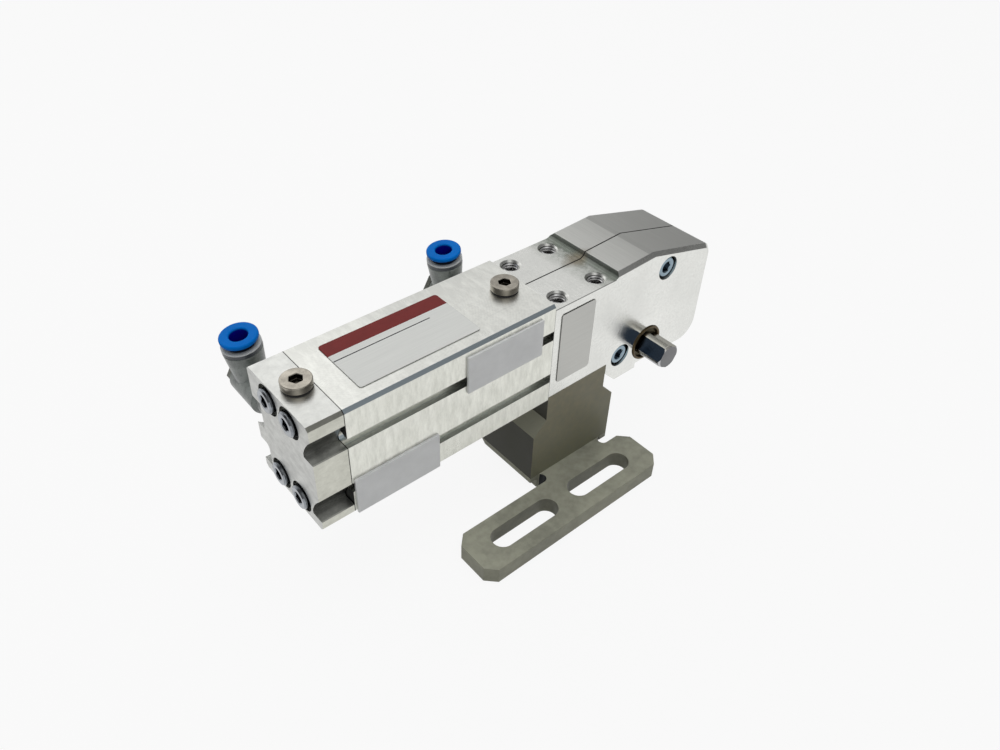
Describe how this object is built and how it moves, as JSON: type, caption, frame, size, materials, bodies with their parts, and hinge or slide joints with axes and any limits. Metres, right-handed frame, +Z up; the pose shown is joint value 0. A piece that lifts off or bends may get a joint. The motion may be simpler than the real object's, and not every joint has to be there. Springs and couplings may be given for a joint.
{
  "type": "pneumatic power clamp",
  "caption": "Compact pneumatic clamp: square-section cylinder, split head with square output shaft, swivel elbow fittings and a flared bracket on a slotted foot.",
  "frame": {"origin": "on the underside of the slotted foot, midway between its two slots", "axes": "+X along the clamp from the rear cap to the head, +Y from the output square to the air fittings, +Z up"},
  "size_m": [0.1827, 0.0812, 0.0922],
  "materials": {
    "bracket_grey": "olive-grey steel, matt",
    "zinc_steel": "zinc plated, slightly blue",
    "washer_steel": "plain bright steel",
    "cap_aluminium": "machined, faint milling marks",
    "barrel_aluminium": "extruded and anodised, satin",
    "head_aluminium": "machined, satin to glossy",
    "piston_aluminium": "turned",
    "hard_steel": "hardened and ground",
    "shaft_steel": "turned and milled, bright",
    "rod_chrome": "hard chrome",
    "bronze": "sintered bronze",
    "magnet_iron": "bonded magnet, dark",
    "collar_dark": "dark grey, moulded",
    "plug_nickel": "nickel plated, warm",
    "seal_rubber": "black seal rubber",
    "fitting_grey": "mid grey moulded",
    "release_blue": "bright blue moulded",
    "label_silver": "silver foil, bare",
    "tag_grey": "light grey, bare"
  },
  "bodies": {
    "clamp_body": {"slotted_foot": "bracket_grey", "foot_screws": "zinc_steel", "bracket_block": "bracket_grey", "bracket_screws": "zinc_steel", "end_cap": "cap_aluminium", "cap_seal": "seal_rubber", "cylinder_barrel": "barrel_aluminium", "tie_screws": "zinc_steel", "tie_washers": "washer_steel", "head_half_near": "head_aluminium", "head_half_far": "head_aluminium", "head_screws": "zinc_steel", "head_dowels": "hard_steel", "rod_gland": "bronze", "gland_seal": "seal_rubber", "rod_seal": "seal_rubber", "shaft_bush_near": "bronze", "shaft_bush_far": "bronze", "port_plugs": "plug_nickel", "plug_seals": "seal_rubber", "hollow_bolts": "plug_nickel", "bolt_seals": "seal_rubber", "top_label": "label_silver", "side_label": "label_silver", "tag_upper": "tag_grey", "tag_lower": "tag_grey"},
    "piston_assembly": {"piston": "piston_aluminium", "piston_seals": "seal_rubber", "piston_magnet": "magnet_iron", "piston_rod": "rod_chrome", "piston_nut": "zinc_steel", "rod_clevis": "hard_steel", "cross_pin": "hard_steel", "guide_shoes": "bronze"},
    "shaft_assembly": {"crank_lever": "hard_steel", "output_shaft": "shaft_steel"},
    "elbow_rear_body": {"elbow_rear": "fitting_grey", "socket_collar_rear": "collar_dark", "tube_seal_rear": "seal_rubber"},
    "ring_rear_body": {"release_ring_rear": "release_blue"},
    "elbow_front_body": {"elbow_front": "fitting_grey", "socket_collar_front": "collar_dark", "tube_seal_front": "seal_rubber"},
    "ring_front_body": {"release_ring_front": "release_blue"}
  },
  "joints": [
    {"name": "piston_slide", "type": "slide", "parent": "clamp_body", "child": "piston_assembly", "axis": [1, 0, 0], "range_m": [-0.01276, 0.02684]},
    {"name": "shaft_turn", "type": "hinge", "parent": "clamp_body", "child": "shaft_assembly", "pos_m": [0.0553, 0.0326, 0.0474], "axis": [0, 1, 0], "range_deg": [-29.05, 61.05]},
    {"name": "elbow_rear_swivel", "type": "hinge", "parent": "clamp_body", "child": "elbow_rear_body", "pos_m": [-0.0872, 0.0627, 0.0712], "axis": [0, 1, 0], "continuous": true},
    {"name": "release_ring_rear_press", "type": "slide", "parent": "elbow_rear_body", "child": "ring_rear_body", "axis": [-0.0993, 0, 0.9951], "range_m": [-0.0015, 0], "stiffness_N_per_m": 100, "springref_m": 0.0008},
    {"name": "elbow_front_swivel", "type": "hinge", "parent": "clamp_body", "child": "elbow_front_body", "pos_m": [-0.0066, 0.0627, 0.0712], "axis": [0, 1, 0], "continuous": true},
    {"name": "release_ring_front_press", "type": "slide", "parent": "elbow_front_body", "child": "ring_front_body", "axis": [-0.0993, 0, 0.9951], "range_m": [-0.0015, 0], "stiffness_N_per_m": 100, "springref_m": 0.0008}
  ],
  "couplings": [
    {"joint": "shaft_turn", "follows": "piston_slide", "rad_per_m": 39.667}
  ]
}
